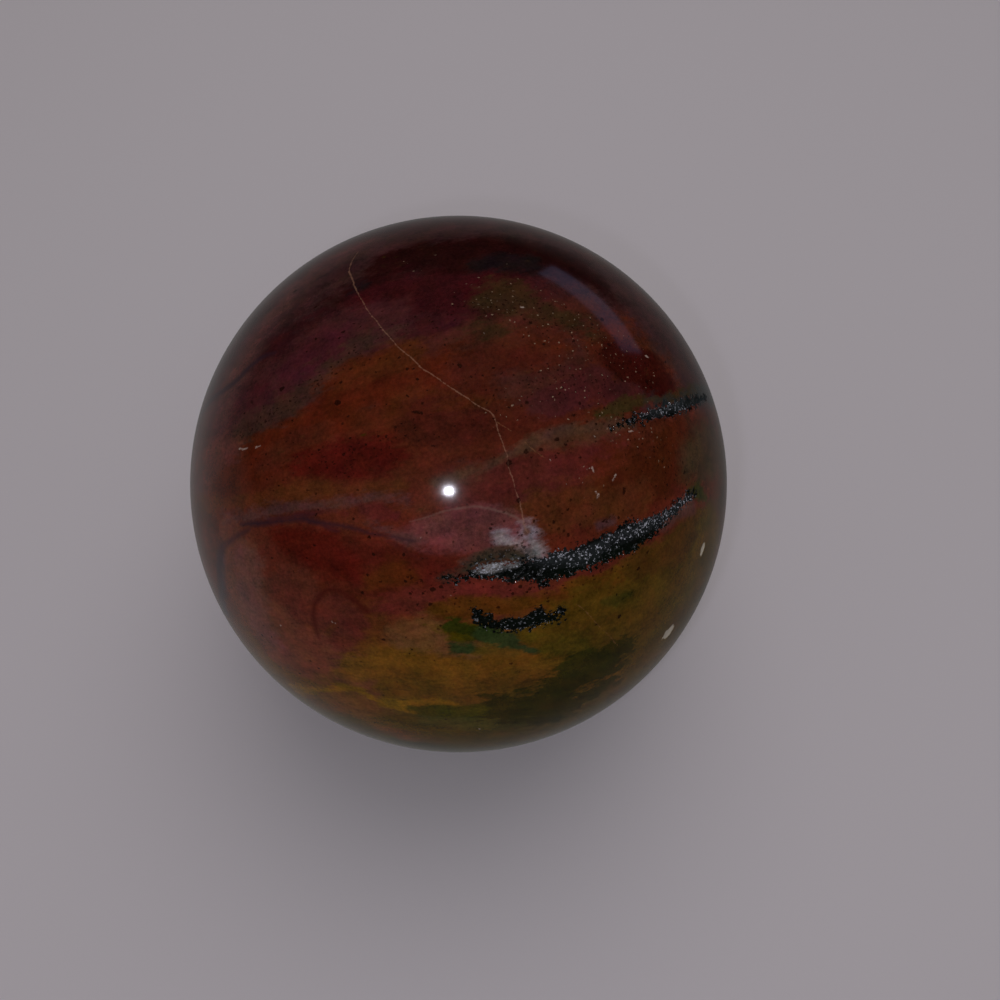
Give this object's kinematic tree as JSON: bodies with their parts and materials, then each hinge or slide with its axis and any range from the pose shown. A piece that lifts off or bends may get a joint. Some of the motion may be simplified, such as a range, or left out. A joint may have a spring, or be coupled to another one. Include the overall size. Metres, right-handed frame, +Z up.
{
  "type": "ocean jasper sphere",
  "caption": "Polished ball of banded red, gold and green jasper with rough black seams, resting on a tiny flat.",
  "frame": {"origin": "middle of the small flat that the ball rests on, straight below the centre of the ball", "axes": "+Z up through the centre of the ball; -Y is the front, and the face that shows in the picture is tipped up 60 degrees from it, at (0, -0.5, 0.866) from the centre"},
  "size_m": [0.055, 0.055, 0.0548],
  "materials": {
    "polished_jasper": "polished"
  },
  "bodies": {
    "root": {"jasper_ball": "polished_jasper"}
  },
  "joints": []
}
